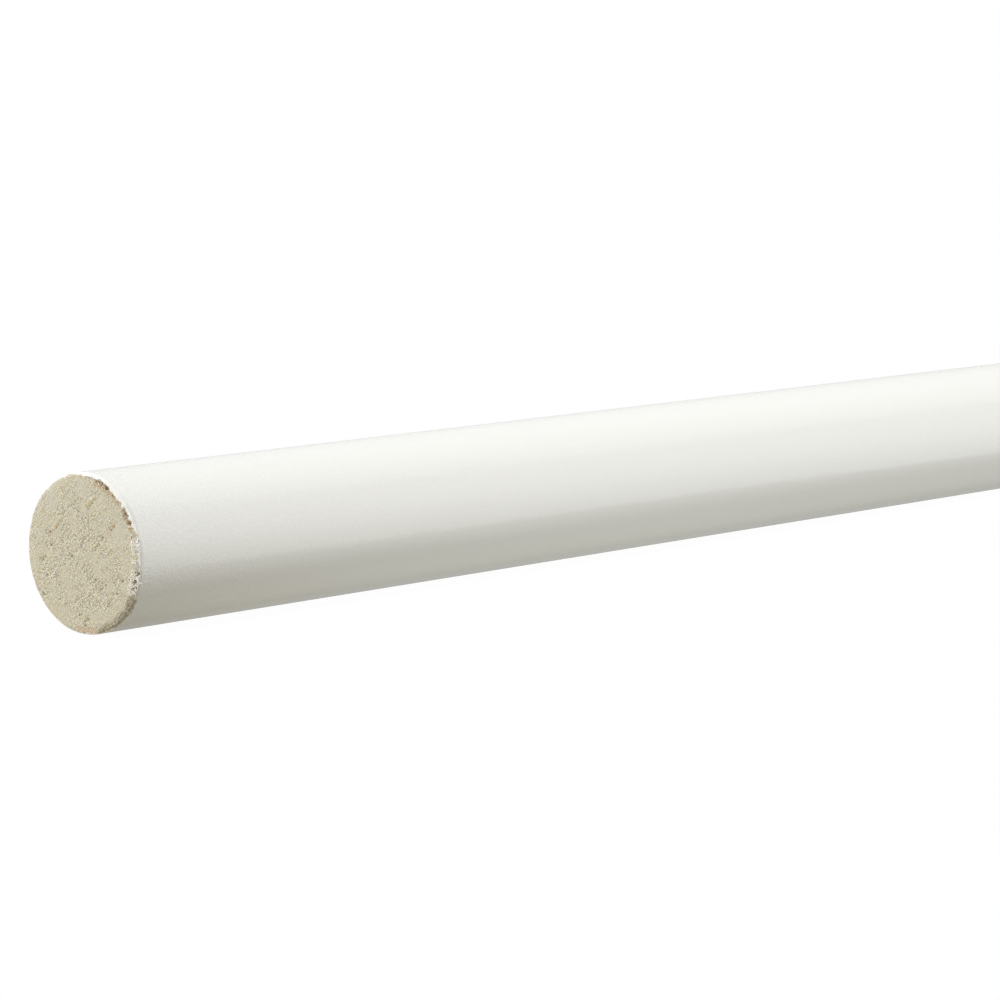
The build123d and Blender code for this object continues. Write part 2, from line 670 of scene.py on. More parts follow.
def worn_rim(points, sign, stretches, half_mm, marks):
    """Moves the points near one rim, marks them, and tells how far inside the bare wood each is."""
    depth = half_mm - sign * points[:, 0]
    reach = np.hypot(points[:, 1], points[:, 2])
    near = np.flatnonzero((depth < WORN_LENGTH_MM) & (RADIUS_MM - reach < WORN_WIDTH_MM))
    depth = depth[near]
    reach = reach[near]
    inset = RADIUS_MM - reach
    over = inset - depth
    right = sign * points[near, 1]
    up = points[near, 2]
    angle = np.degrees(np.arctan2(up, right))
    on_rim = np.stack([right / reach, up / reach, np.full_like(reach, sign)], axis=1) * RADIUS_MM
    fine = lumps(on_rim, FINE_LUMP_MM, 1)
    coarse = lumps(on_rim, COARSE_LUMP_MM, 2)
    broken = lumps(on_rim, BREAK_LUMP_MM, 6)
    corner = PLAIN_CORNER_MM * (1.0 + PLAIN_UNEVEN * coarse)
    paint_stop = PLAIN_WAVE_MM * fine
    crumbly = np.zeros_like(angle)
    for wear in stretches:
        share = along_stretch(angle, wear)
        corner += share * (wear.corner_mm - PLAIN_CORNER_MM) * (1.0 + WORN_UNEVEN * coarse)
        wave_mm = WORN_WAVE_MM + CRUMBLED_WAVE_MM * wear.crumble ** 2
        paint_stop += share * (wear.paint_mm + wave_mm * (coarse + fine))
        at_mark = smoothstep(MARK_EDGE * (1.0 - np.abs(over - wear.middle_mm) / wear.reach_mm))
        if wear.crumble > BROKEN_ABOVE:
            at_mark = at_mark * smoothstep(1.0 + BREAK_GAIN * broken)
        raise_mark(marks[wear.mark], near, share * at_mark)
        crumbly = np.maximum(crumbly, wear.crumble * share * at_mark)
    bare = over - paint_stop
    depth, inset, turn = round_corner(depth, inset, corner)

    # Bare wood lies under the paint's coat, and worn stretches crumble
    spots = on_rim + np.stack([depth, inset, depth], axis=1)
    large_holes = np.maximum(lumps(spots, HOLE_LUMP_MM, 3) + HOLE_BIAS, 0.0)
    small_holes = np.maximum(lumps(spots, SMALL_HOLE_LUMP_MM, 4), 0.0)
    holes = large_holes + SMALL_HOLE_SHARE * small_holes
    rising = smoothstep((STRIPPED_REACH_MM - over) / STRIPPED_FADE_MM)
    stripped = smoothstep(bare / STRIPPED_EDGE_MM) * rising
    # Crumbled holes in the bare wood get painted shade
    raise_mark(marks["hollow"], near, stripped * crumbly * smoothstep(holes / HOLLOW_SHADE_LEVEL - 0.5))
    sunk = stripped * (PAINT_COAT_MM + HOLE_DEPTH_MM * crumbly * holes)
    inset = inset + sunk * np.cos(turn)
    depth = depth + sunk * np.sin(turn)
    points[near, 0] = sign * (half_mm - depth)
    points[near, 1:] *= ((RADIUS_MM - inset) / reach)[:, None]
    return near, bare


def saw_line(fleck, right, up):
    """How far places lie along and across the saw's drag from the middle of a fleck."""
    aside = right - fleck.right_mm
    above = up - fleck.up_mm
    along = aside * math.cos(SAW_ANGLE) + above * math.sin(SAW_ANGLE)
    across = above * math.cos(SAW_ANGLE) - aside * math.sin(SAW_ANGLE)
    return along, across


def line_end(along, fleck, sharpness):
    """Over one in the middle of a line, falling to nothing at its ends."""
    return sharpness - sharpness * np.abs(along) / (LINE_REACH * fleck.length_mm)


def line_body(line, across, ragged_edge):
    """One along the middle of a line, falling off to its sides, with ragged gaps."""
    middle = np.exp(-(((across - line.above_mm) / line.half_width_mm) ** 2))
    return middle * smoothstep(line.whole + line.ragged * ragged_edge)


def mark_near_end(points, half_mm, marks):
    """Pulls flecks of the near end up beside a groove, tears its pits, and rubs and scratches it."""
    radius = np.hypot(points[:, 1], points[:, 2])
    on_face = (points[:, 0] < FACE_DEPTH_MM - half_mm) & (radius < RADIUS_MM - FACE_MARGIN_MM)
    near = np.flatnonzero(on_face)
    right = -points[near, 1]
    up = points[near, 2]
    x = points[near, 0]
    spots = np.stack([right, up, np.zeros_like(up)], axis=1)
    small_ragged = SMALL_RAGGED_SHARE * lumps(spots, SMALL_RAGGED_LUMP_MM, 9)
    ragged_edge = lumps(spots, RAGGED_LUMP_MM, 7) + small_ragged
    wander = WANDER_MM * lumps(spots, WANDER_LUMP_MM, 8)
    for fleck in NEAR_FLECKS:
        along, across = saw_line(fleck, right, up)
        across = across + wander
        within = smoothstep(line_end(along, fleck, FLECK_END) + FLECK_END_RAGGED * ragged_edge)
        ridge = within * line_body(RIDGE, across, ragged_edge)
        groove = fleck.strength * within * line_body(GROOVE, across, ragged_edge)
        raise_mark(marks["fleck"], near, fleck.strength * ridge)
        # The groove beside a fleck gets painted shade as well as its depth
        raise_mark(marks["hollow"], near, groove)
        x -= RIDGE.height_mm * ridge + GROOVE.height_mm * groove
    for spot in NEAR_PITS:
        away = np.hypot(right - spot.right_mm, up - spot.up_mm) / spot.radius_mm
        pit = np.exp(-(away ** 2))
        # A pit gets painted shade as well as its depth
        raise_mark(marks["hollow"], near, pit)
        x += spot.radius_mm * pit
    for spot in NEAR_BURNISHED:
        away = np.hypot(right - spot.right_mm, up - spot.up_mm) / spot.radius_mm
        rubbed = smoothstep(RUBBED_EDGE - RUBBED_EDGE * away + RUBBED_WANDER * wander)
        raise_mark(marks["burnished"], near, rubbed)
    for scratch in NEAR_SCRATCHES:
        along, across = saw_line(scratch, right, up)
        across = across + SCRATCH_WANDER * wander
        within = smoothstep(line_end(along, scratch, SCRATCH_END))
        line = within * line_body(SCRATCH, across, ragged_edge)
        raise_mark(marks["pale"], near, scratch.strength * line)
        x -= SCRATCH.height_mm * line
    points[near, 0] = np.maximum(x, -half_mm)


def wear_ends(mesh, stock):
    """Wears both rims of the mesh, bares the wood where the paint is lost, and pulls the flecks."""
    count = len(mesh.vertices)
    points = mesh_array(mesh.vertices, "co", 3).astype(float) / MM
    points[:, 2] -= AXIS_HEIGHT_MM
    half_mm = stock.length / 2 / MM
    marks = {mark: np.zeros(count) for mark in MARKS}
    bare = np.full(count, -1.0)
    for sign, stretches in ((-1.0, NEAR_RIM), (1.0, FAR_RIM)):
        touched, how_bare = worn_rim(points, sign, stretches, half_mm, marks)
        bare[touched] = how_bare
    radius = np.hypot(points[:, 1], points[:, 2])
    bare[radius < RADIUS_MM - BARE_INSIDE_MM] = 1.0
    marks["loose"] = smoothstep(RADIUS_MM - LOOSE_INSIDE_MM - radius)
    mark_near_end(points, half_mm, marks)
    points[:, 2] += AXIS_HEIGHT_MM
    mesh.vertices.foreach_set("co", (points * MM).astype(np.float32).ravel())
    for mark, values in marks.items():
        mesh.attributes.new(mark, "FLOAT", "POINT").data.foreach_set("value", values.astype(np.float32))
    corners = mesh_array(mesh.loops, "vertex_index", kind=np.int32)
    starts = mesh_array(mesh.polygons, "loop_start", kind=np.int32)
    totals = mesh_array(mesh.polygons, "loop_total", kind=np.int32)
    inside = np.add.reduceat(bare[corners], starts) / totals
    wood = mesh.materials.find("sawn_wood")
    paint = mesh.materials.find("satin_white_paint")
    mesh.polygons.foreach_set("material_index", np.where(inside > 0.0, wood, paint).astype(np.int32))
    mesh.update()


# Crumbs that cling to the worn rims and lie on the sawn ends


class Crumbs(NamedTuple):
    """The crumbs on one of the marks of wear."""

    mark: str
    material: str
    per_mm2: float
    size_mm: float
    seed: int


CRUMBS = (
    Crumbs("torn", "paint_dust", per_mm2=3.2, size_mm=0.55, seed=3),
    Crumbs("torn", "sawn_wood", per_mm2=2.0, size_mm=0.40, seed=5),
    Crumbs("chipped", "sawn_wood", per_mm2=1.8, size_mm=0.40, seed=8),
    Crumbs("chipped", "paint_dust", per_mm2=2.0, size_mm=0.40, seed=11),
    Crumbs("crushed", "sawn_wood", per_mm2=0.6, size_mm=0.35, seed=14),
    Crumbs("fleck", "sawn_wood", per_mm2=4.0, size_mm=0.45, seed=17),
    Crumbs("loose", "sawn_wood", per_mm2=0.20, size_mm=0.40, seed=20),
)
CRUMB_LEVELS = (0.3, 0.9)  # how strong a mark is where crumbs begin, and where they are thickest
# The least and the most of a crumb's three sides, against its size, and of its paleness
CRUMB_SIDES = ((0.5, 0.35, 0.2), (1.3, 0.8, 0.4))
CRUMB_PALENESS = (0.2, 1.0)


def crumb_tree():
    """Scatters crumbs over the marked faces of a mesh, each turned and sized at random."""
    inputs = (
        ("Geometry", "NodeSocketGeometry", None),
        ("Mark", "NodeSocketString", ""),
        ("Density", "NodeSocketFloat", 1.0),
        ("Size", "NodeSocketFloat", 0.001),
        ("Seed", "NodeSocketInt", 0),
        ("Material", "NodeSocketMaterial", None),
    )
    outputs = (("Geometry", "NodeSocketGeometry"),)
    nodes, given, result = new_group("Rim Crumbs", "GeometryNodeTree", inputs, outputs)
    nodes.tree.is_modifier = True
    named = nodes.add("GeometryNodeInputNamedAttribute", {"Name": given["Mark"]}, data_type="FLOAT")
    thickness = nodes.ramp(named.outputs[0], *CRUMB_LEVELS)
    spread = nodes.add("GeometryNodeDistributePointsOnFaces", {
        "Mesh": given["Geometry"],
        "Density": nodes.math("MULTIPLY", thickness, given["Density"]),
        "Seed": given["Seed"],
    }, distribute_method="RANDOM")
    crumb = nodes.add("GeometryNodeMeshIcoSphere", {"Radius": 0.5, "Subdivisions": 1})
    turn = nodes.add("FunctionNodeRandomValue", {
        0: (0.0, 0.0, 0.0),
        1: (math.tau, math.tau, math.tau),
        "Seed": given["Seed"],
    }, data_type="FLOAT_VECTOR")
    shape = nodes.add("FunctionNodeRandomValue", {
        0: CRUMB_SIDES[0],
        1: CRUMB_SIDES[1],
        "Seed": nodes.math("ADD", given["Seed"], 1.0),
    }, data_type="FLOAT_VECTOR")
    placed = nodes.add("GeometryNodeInstanceOnPoints", {
        "Points": spread.outputs["Points"],
        "Instance": crumb.outputs["Mesh"],
        "Rotation": nodes.add("FunctionNodeEulerToRotation", {0: turn.outputs[0]}).outputs[0],
        "Scale": nodes.scaled(shape.outputs[0], given["Size"]),
    })
    paleness = nodes.add("FunctionNodeRandomValue", {
        2: CRUMB_PALENESS[0],
        3: CRUMB_PALENESS[1],
        "Seed": nodes.math("ADD", given["Seed"], 2.0),
    }, data_type="FLOAT")
    marked = nodes.add("GeometryNodeStoreNamedAttribute", {
        "Geometry": placed.outputs[0],
        "Name": "crumb",
        "Value": paleness.outputs[1],
    }, data_type="FLOAT", domain="INSTANCE")
    real = nodes.add("GeometryNodeRealizeInstances", {"Geometry": marked.outputs[0]})
    made = nodes.add("GeometryNodeSetMaterial", {
        "Geometry": real.outputs[0],
        "Material": given["Material"],
    })
    joined = nodes.add("GeometryNodeJoinGeometry")
    nodes.feed(joined.inputs[0], given["Geometry"])
    nodes.feed(joined.inputs[0], made.outputs[0])
    nodes.feed(result["Geometry"], joined.outputs[0])
    return nodes.tree


# The map that the materials are baked through

BAKE_MAP = "OFBake"
RIM_BAND_MM = 4.0  # how far along the side each end's disc goes
RIM_START_MM = 3.0  # how far in from the rim a disc starts to count that band
DISC_SPARE_MM = 1.0
DISC_RADIUS = 0.24
DISC_MIDDLES = ((0.25, 0.25), (0.75, 0.25))  # the near end's and the far end's
SIDE_ROWS = (0.5, 0.75)  # where the near half's row and the far half's row start
ROW_HEIGHT = 0.25
MAP_MARGIN = 0.004
CRUMB_CORNER = (0.37, 0.45)  # a corner of the strip that the crumbs share
CRUMB_STRIP = (0.26, 0.04)
CRUMB_SLANT = 0.5  # crumbs are laid out from a slant, so that few of their faces are edge on
SPREAD_STEP = 0.618  # takes each face of a crumb to another height in the strip


def mesh_array(items, name, width=1, kind=np.float32):
    """One property of all of a mesh's items."""
    values = np.empty(len(items) * width, kind)
    items.foreach_get(name, values)
    return values.reshape(-1, width) if width > 1 else values


def lay_out_map(mesh, stock):
    """Lays each end out as a disc, the side as two rows, and all the crumbs in one strip."""
    corners = mesh_array(mesh.loops, "vertex_index", kind=np.int32)
    starts = mesh_array(mesh.polygons, "loop_start", kind=np.int32)
    totals = mesh_array(mesh.polygons, "loop_total", kind=np.int32)
    face = np.repeat(np.arange(len(totals)), totals)

    def middle(values):
        return (np.add.reduceat(values, starts) / totals)[face]

    points = mesh_array(mesh.vertices, "co", 3).astype(float)[corners] / MM
    paleness = middle(mesh_array(mesh.attributes["crumb"].data, "value")[corners])
    half_mm = stock.length / 2 / MM
    x, y, z = points[:, 0], points[:, 1], points[:, 2] - AXIS_HEIGHT_MM
    far = middle(x) > 0.0
    radius = np.hypot(y, z)
    depth = half_mm - np.abs(x)
    right = np.where(far, y, -y)

    # Discs, which go on over the rim for a little way
    out = radius + depth * smoothstep(radius - RADIUS_MM + RIM_START_MM)
    widest = RADIUS_MM + RIM_BAND_MM + DISC_SPARE_MM
    scale = DISC_RADIUS / widest * out / np.maximum(radius, 1e-6)
    disc_middle = np.where(far[:, None], DISC_MIDDLES[1], DISC_MIDDLES[0])
    disc = disc_middle + np.stack([right, z], axis=1) * scale[:, None]

    # Rows, whose seam is at the back
    turn = np.arctan2(z, -y)
    toward = np.arctan2(middle(z), middle(-y))
    turn = toward + (turn - toward + math.pi) % math.tau - math.pi
    row = np.where(far, SIDE_ROWS[1], SIDE_ROWS[0]) + MAP_MARGIN
    side = np.stack([
        MAP_MARGIN + (1.0 - 2 * MAP_MARGIN) * np.abs(x) / half_mm,
        row + (ROW_HEIGHT - 2 * MAP_MARGIN) * (turn / math.tau + 0.5),
    ], axis=1)

    # Crumbs, by their paleness
    spread = np.stack([paleness, (face * SPREAD_STEP) % 1.0], axis=1)
    slant = CRUMB_SLANT * (x - middle(x))
    away = np.stack([y - middle(y) + slant, z - middle(z) + slant], axis=1)
    strip = np.array(CRUMB_CORNER) + np.array(CRUMB_STRIP) * spread + away * DISC_RADIUS / RADIUS_MM

    on_disc = (middle(depth) < RIM_BAND_MM)[:, None]
    on_crumb = (paleness > CRUMB_PALENESS[0] / 2)[:, None]
    places = np.where(on_crumb, strip, np.where(on_disc, disc, side))
    layer = mesh.uv_layers.new(name=BAKE_MAP)
    layer.data.foreach_set("uv", places.astype(np.float32).ravel())


# Materials

PAINT_IOR = 1.75
# The paint's stipple, the grain under it and its duller specks
STIPPLE_PER_MM = (2.2, 2.2, 2.2)
STIPPLE_MM = 0.06
STIPPLE_FADE_MM = 60.0  # how far from an end the part of it that fades is down to a third
STIPPLE_LEFT = 0.3  # the share of it that is left halfway along the dowel
RIM_STIPPLE = 1.6  # how much more there is at the rims
RIM_STIPPLE_FADE_MM = 9.0
GRAIN_PER_MM = (0.10, 0.5, 0.5)
GRAIN_MM = 0.03
DULL_PER_MM = (2.4, 2.4, 2.4)
DULL_LEVELS = (0.3, 0.7)
DULL_SHARE = 0.93  # how bright the duller specks are beside the rest
DUST_TINT = (0.95, 0.94, 0.91)
DUST_TONES = (0.90, 1.05)
DUST_ROUGHNESS = 0.9

# The sawn wood's fibres, from dark to pale tones of its colour
FIBRES_PER_MM = (3.0, 4.0, 3.0)
FIBRE_LEVELS = (0.35, 0.65)
FIBRE_GAIN = (0.6, 1.9)  # how much their tone changes on sound wood and on torn wood
FIBRE_TONE = 0.9  # how much of the tone follows the fibres
RELIEF_SHADE = 0.4  # and how much follows the relief: painted shade in its low grit and painted light on its high grit
TONE_LEVELS = (0.32, 0.68)
WOOD_TONES = (0.50, 1.50)
WOOD_ROUGHNESS = 0.85
WOOD_BUMP_MM = 0.12
FIBRE_BUMP = 0.7
# Casts of colour that patches of it have: how closely they repeat, the cast and its strength
WOOD_CASTS = (
    ((1.2, 1.9, 1.0), (0.93, 0.87, 0.62), 0.9),
    ((0.9, 1.2, 1.3), (1.0, 0.90, 0.86), 1.0),
    ((0.35, 0.45, 1.7), (0.93, 0.98, 1.0), 0.8),
)
CAST_LEVELS = (0.52, 0.72)
DARK_FIBRES_PER_MM = (0.65, 1.9, 1.0)
DARK_FIBRE_LEVELS = (0.60, 0.70)
DARK_FIBRE_TINT = (0.46, 0.37, 0.23)
DARK_FIBRE_SHARES = (0.7, 0.2)  # how strong that tint is among the darkest fibres, and among pale ones
DARK_FIBRE_FADE = (0.3, 0.6)  # the values of the fibres between which it weakens
# Painted shade in the torn pits, which also sink in the mesh
PIT_SHADE_TINT = (0.22, 0.17, 0.11)
PIT_SHADE_SHARE = 0.6
BURNISHED_TINT = (0.575, 0.548, 0.455)
BURNISHED_SHARE = 0.6
# The tint of each mark of wear, from dark to pale tones; the hollows' tint is painted shade, and the
# crushed bevel's is partly painted shade
MARK_TINTS = (
    ("fleck", (0.57, 0.46, 0.27)),
    ("chipped", (0.53, 0.42, 0.28)),
    ("torn", (0.74, 0.70, 0.61)),
    # The crushed bevel: bruised wood darkened further by painted shade
    ("crushed", (0.55, 0.49, 0.38)),
    ("scuffed", (0.57, 0.45, 0.33)),
    ("pale", (0.86, 0.80, 0.68)),
    # Painted shade in holes, pits and grooves
    ("hollow", (0.26, 0.20, 0.12)),
)
MARK_TONES = (0.6, 1.35)
MARK_SPECKS_PER_MM = (2.4, 2.4, 2.4)
MARK_RAGGED = 1.4  # how far specks push a mark's edge
MARK_LEVELS = (0.35, 0.70)
CRUMB_TINT = (0.86, 0.77, 0.61)
CRUMB_SHARE = 0.8


def speckle_group():
    """Specks of noise, as a value and as a mask between two levels, for every finish to use."""
    inputs = (
        ("Vector", "NodeSocketVector", None),
        ("Scale", "NodeSocketVector", (1.0, 1.0, 1.0)),
        ("Detail", "NodeSocketFloat", 2.0),
        ("Roughness", "NodeSocketFloat", 0.5),
        ("Low", "NodeSocketFloat", 0.4),
        ("High", "NodeSocketFloat", 0.6),
    )
    outputs = (("Value", "NodeSocketFloat"), ("Mask", "NodeSocketFloat"))
    nodes, given, result = new_group("Speckle", "ShaderNodeTree", inputs, outputs)
    places = nodes.vector("MULTIPLY", given["Vector"], given["Scale"])
    value = nodes.noise(places, given["Detail"], given["Roughness"])
    nodes.feed(result["Value"], value)
    nodes.feed(result["Mask"], nodes.ramp(value, given["Low"], given["High"]))
    return nodes.tree


def speckle(nodes, places, scale, low=0.4, high=0.6, detail=2.0, rough=0.5):
    """The outputs of a speckle group with these values."""
    tree = bpy.data.node_groups.get("Speckle") or speckle_group()
    return nodes.add("ShaderNodeGroup", {
        "Vector": places,
        "Scale": scale,
        "Detail": detail,
        "Roughness": rough,
        "Low": low,
        "High": high,
    }, node_tree=tree).outputs


def object_places_mm(nodes):
    """Places on the piece in millimetres."""
    return nodes.scaled(nodes.add("ShaderNodeTexCoord").outputs["Object"], 1 / MM)


def empty_material(name):
    """A material with nothing in it yet, and the builder of its tree."""
    material = bpy.data.materials.new(name)
    material.use_nodes = True
    material.node_tree.nodes.clear()
    return material, Nodes(material.node_tree)


def new_material(name):
    """A material with a Principled shader, the builder of its tree, and the shader's inputs."""
    material, nodes = empty_material(name)
    shader = nodes.add("ShaderNodeBsdfPrincipled")
    nodes.add("ShaderNodeOutputMaterial", {"Surface": shader.outputs["BSDF"]})
    return material, nodes, shader.inputs


def attribute(nodes, name):
    """A value that the mesh carries under this name."""
    return nodes.add("ShaderNodeAttribute", attribute_name=name).outputs["Fac"]


def between(nodes, share, tint, tones):
    """A colour between a darker and a paler tone of a tint."""
    dark, pale = (tuple(min(tone * c, 1.0) for c in tint) + (1.0,) for tone in tones)
    return nodes.blend(share, dark, pale)


def paint_material(finish, stock):
    """Satin white paint over raised grain: a fine stipple, strongest by the rims."""
    material, nodes, shader = new_material("satin_white_paint")
    places = object_places_mm(nodes)
    half_mm = stock.length / 2 / MM
    from_end = nodes.math("SUBTRACT", half_mm, nodes.math("ABSOLUTE", nodes.separate(places)[0]))
    fading = nodes.math("EXPONENT", nodes.math("DIVIDE", from_end, -STIPPLE_FADE_MM))
    strength = nodes.math("MULTIPLY_ADD", fading, 1.0 - STIPPLE_LEFT, STIPPLE_LEFT)
    by_rim = nodes.math("EXPONENT", nodes.math("DIVIDE", from_end, -RIM_STIPPLE_FADE_MM))
    raised = nodes.math("MULTIPLY_ADD", by_rim, RIM_STIPPLE, strength)
    stipple = nodes.math("MULTIPLY", speckle(nodes, places, STIPPLE_PER_MM)["Value"], raised)
    grain_mm = nodes.math("MULTIPLY", speckle(nodes, places, GRAIN_PER_MM)["Value"], GRAIN_MM)
    height = nodes.math("MULTIPLY_ADD", stipple, STIPPLE_MM, grain_mm)
    bump = nodes.add("ShaderNodeBump", {"Strength": 1.0, "Distance": MM, "Height": height})
    dull = tuple(DULL_SHARE * c for c in finish.paint) + (1.0,)
    specks = speckle(nodes, places, DULL_PER_MM, *DULL_LEVELS)["Mask"]
    mottle = nodes.math("MULTIPLY", specks, strength)
    nodes.feed(shader["Base Color"], nodes.blend(mottle, (*finish.paint, 1.0), dull))
    nodes.feed(shader["Normal"], bump.outputs[0])
    nodes.feed(shader["Roughness"], finish.paint_roughness)
    nodes.feed(shader["IOR"], PAINT_IOR)
    return material


def dust_material():
    """Loose crumbs of paint, each of its own tone."""
    material, nodes, shader = new_material("paint_dust")
    nodes.feed(shader["Base Color"], between(nodes, attribute(nodes, "crumb"), DUST_TINT, DUST_TONES))
    nodes.feed(shader["Roughness"], DUST_ROUGHNESS)
    return material


def ragged(nodes, mark, speck):
    """A mark with a crumbly edge: specks decide where its soft edge turns on."""
    push = nodes.math("MULTIPLY_ADD", speck, MARK_RAGGED, -MARK_RAGGED / 2)
    return nodes.ramp(nodes.math("ADD", attribute(nodes, mark), push), *MARK_LEVELS)


def wood_material(finish):
    """Raw wood across the grain: pale grit with darker flecks, torn pits and the marks of wear, with
    painted shade in its low grit, pits and hollows.
    """
    material, nodes, shader = new_material("sawn_wood")
    places = saw_coordinates(nodes, nodes.add("ShaderNodeTexCoord").outputs["Object"])
    height = relief(nodes, places)
    fibres = speckle(nodes, places, FIBRES_PER_MM, *FIBRE_LEVELS, detail=3.0, rough=0.75)
    gain = nodes.mix(torn_patches(nodes, places), *FIBRE_GAIN)
    lively = nodes.math("MULTIPLY", nodes.math("SUBTRACT", fibres["Value"], 0.5), gain)
    level = nodes.math("MULTIPLY_ADD", lively, FIBRE_TONE, 0.5)
    # The relief's height darkens the low grit and lightens the high grit: painted shade and painted light
    level = nodes.math("MULTIPLY_ADD", nodes.math("SUBTRACT", height, 0.5), RELIEF_SHADE, level)
    colour = between(nodes, nodes.ramp(level, *TONE_LEVELS), finish.wood, WOOD_TONES)
    for per_mm, cast, strength in WOOD_CASTS:
        patch = speckle(nodes, places, per_mm, *CAST_LEVELS)["Mask"]
        colour = nodes.add("ShaderNodeMix", {
            0: nodes.math("MULTIPLY", patch, strength),
            6: colour,
            7: (*cast, 1.0),
        }, data_type="RGBA", blend_type="MULTIPLY").outputs[2]
    dark_fibres = speckle(nodes, places, DARK_FIBRES_PER_MM, *DARK_FIBRE_LEVELS)["Mask"]
    dark_share = nodes.ramp(fibres["Value"], *DARK_FIBRE_FADE, *DARK_FIBRE_SHARES)
    dark = nodes.math("MULTIPLY", dark_fibres, dark_share)
    colour = nodes.blend(dark, colour, (*DARK_FIBRE_TINT, 1.0))
    # Painted shade in the torn pits
    pit = nodes.math("MULTIPLY", pits(nodes, places), PIT_SHADE_SHARE)
    colour = nodes.blend(pit, colour, (*PIT_SHADE_TINT, 1.0))
    burnished = nodes.math("MULTIPLY", attribute(nodes, "burnished"), BURNISHED_SHARE)
    colour = nodes.blend(burnished, colour, (*BURNISHED_TINT, 1.0))
    speck = speckle(nodes, places, MARK_SPECKS_PER_MM)["Value"]
    for mark, tint in MARK_TINTS:
        worn = between(nodes, fibres["Mask"], tint, MARK_TONES)
        colour = nodes.blend(ragged(nodes, mark, speck), colour, worn)
    crumb = nodes.math("MULTIPLY", attribute(nodes, "crumb"), CRUMB_SHARE)
    colour = nodes.blend(crumb, colour, (*CRUMB_TINT, 1.0))
    bumps = nodes.math("MULTIPLY_ADD", lively, FIBRE_BUMP, height)
    bumps = nodes.math("MULTIPLY", bumps, nodes.math("SUBTRACT", 1.0, burnished))
    bump = nodes.add("ShaderNodeBump", {"Strength": 1.0, "Distance": WOOD_BUMP_MM * MM, "Height": bumps})
    nodes.feed(shader["Base Color"], colour)
    nodes.feed(shader["Normal"], bump.outputs[0])
    nodes.feed(shader["Roughness"], WOOD_ROUGHNESS)
    return material


class DOWEL_OT_make_stock(bpy.types.Operator):
    """Make the painted dowel with its two sawn ends"""

    bl_idname = "dowel.make_stock"
    bl_label = "Make Painted Dowel"

    def execute(self, context):
        stock = context.scene.dowel_stock
        finish = context.scene.dowel_finish
        mesh = evaluated_mesh(stock_tree(), {
            "Length": stock.length,
            "Radius": stock.diameter / 2,
            "Axis Height": AXIS_HEIGHT_MM * MM,
            "Rings": stock.rings,
            "End Squares": stock.end_squares,
            "End Step": stock.end_step,
            "Grit Depth": finish.grit_depth,
            "Paint": paint_material(finish, stock),
            "Sawn Wood": wood_material(finish),
        }, "painted_dowel")
        wear_ends(mesh, stock)
        dust_material()
        scatter = crumb_tree()
        for crumbs in CRUMBS:
            mesh = evaluated_mesh(scatter, {
                "Mark": crumbs.mark,
                "Density": crumbs.per_mm2 / MM ** 2,
                "Size": crumbs.size_mm * MM,
                "Seed": crumbs.seed,
                "Material": bpy.data.materials[crumbs.material],
            }, "painted_dowel", mesh)
        lay_out_map(mesh, stock)
        piece = bpy.data.objects.new("painted_dowel", mesh)
        context.scene.collection.objects.link(piece)
        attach(piece, "root")
        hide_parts("dowel")
        return {"FINISHED"}


# The studio

# Strip lamps: how far along each stands, and its angle round the dowel from behind over the top
STRIP_LAMPS = (
    ("back", -0.4, 55),
    ("top", -0.4, 90),
    ("slant", -0.3, 115),
    ("front", 0.25, 180),
)
LAMP_REACH = 1.5
LAMP_SIZE = (1.0, 0.3)
END_LAMP = (-1.9, 1.2, 0.4)
END_LAMP_SIZE = (0.5, 0.5)
FLOOR_SIDE = 30.0
FLOOR_GREY = 0.35  # the share of the lamps' light that it sends back
PAPER_WHITE = 0.9
PAPER_SHARE = 0.03  # the share of the floor's white that takes the dowel's shadow
# Where that share starts to fade, and is gone, to the dowel's sides and along it
PAPER_ASIDE = (0.03, 0.25)
PAPER_ALONG = (0.48, 0.70)
CARD_LEVEL = 0.3 * MM
# The card's front edge, seen from above, which gloss shows as the shade's edge on the paint
CARD_FRONT = ((-1.2, -0.085), (-0.36, -0.037), (-0.24, -0.0352), (-0.17, -0.0308), (1.5, -0.0308))
CARD_BACK = 0.038
CARD_GAP = 3.2 * MM  # from the line that the dowel rests on to the card on each side
CARD_IN_GLOSS = (0.135, 0.34)  # how bright gloss shows the card, and its strip next to the dowel
CARD_STRIP = (-7.5 * MM, -4.5 * MM)  # where the strip begins to brighten, and is brightest
# The light from the card and the floor by the near end, and further along
CARD_GLOW = ((0.47, 0.445, 0.36, 1.0), (0.68, 0.68, 0.632, 1.0))
FLOOR_GLOW = ((0.165, 0.153, 0.115, 1.0), (0.55, 0.55, 0.55, 1.0))
GLOW_FADE = 0.075  # how far along the first of each pair fades to a third
# How white gloss shows the surroundings in front, overhead and behind
FRONT_WHITE = 0.645
TOP_WHITE = 0.945
BACK_WHITE = 0.74
# Where one passes into the next, round the dowel from level in front over the top
FRONT_EDGE = (math.radians(52), math.radians(61))
BACK_EDGE = (math.radians(114), math.radians(171))


def new_lamp(name, place, aim, size, power):
    """A lamp of a set size at one place, facing another."""
    data = bpy.data.lights.new(name, "AREA")
    data.shape = "RECTANGLE"
    data.size, data.size_y = size
    data.energy = power
    lamp = bpy.data.objects.new(name, data)
    way = Vector(aim) - Vector(place)
    lamp.matrix_world = Matrix.Translation(place) @ way.to_track_quat("-Z", "Y").to_matrix().to_4x4()
    lamp.visible_glossy = False
    bpy.context.scene.collection.objects.link(lamp)


def strip_lamp(name, along, angle, power):
    """A long lamp beside the dowel, at an angle round it that counts from behind over the top."""
    aim = Vector((along, 0.0, AXIS_HEIGHT_MM * MM))
    out = Vector((0.0, math.cos(math.radians(angle)), math.sin(math.radians(angle))))
    new_lamp(name, aim + LAMP_REACH * out, aim, LAMP_SIZE, power)


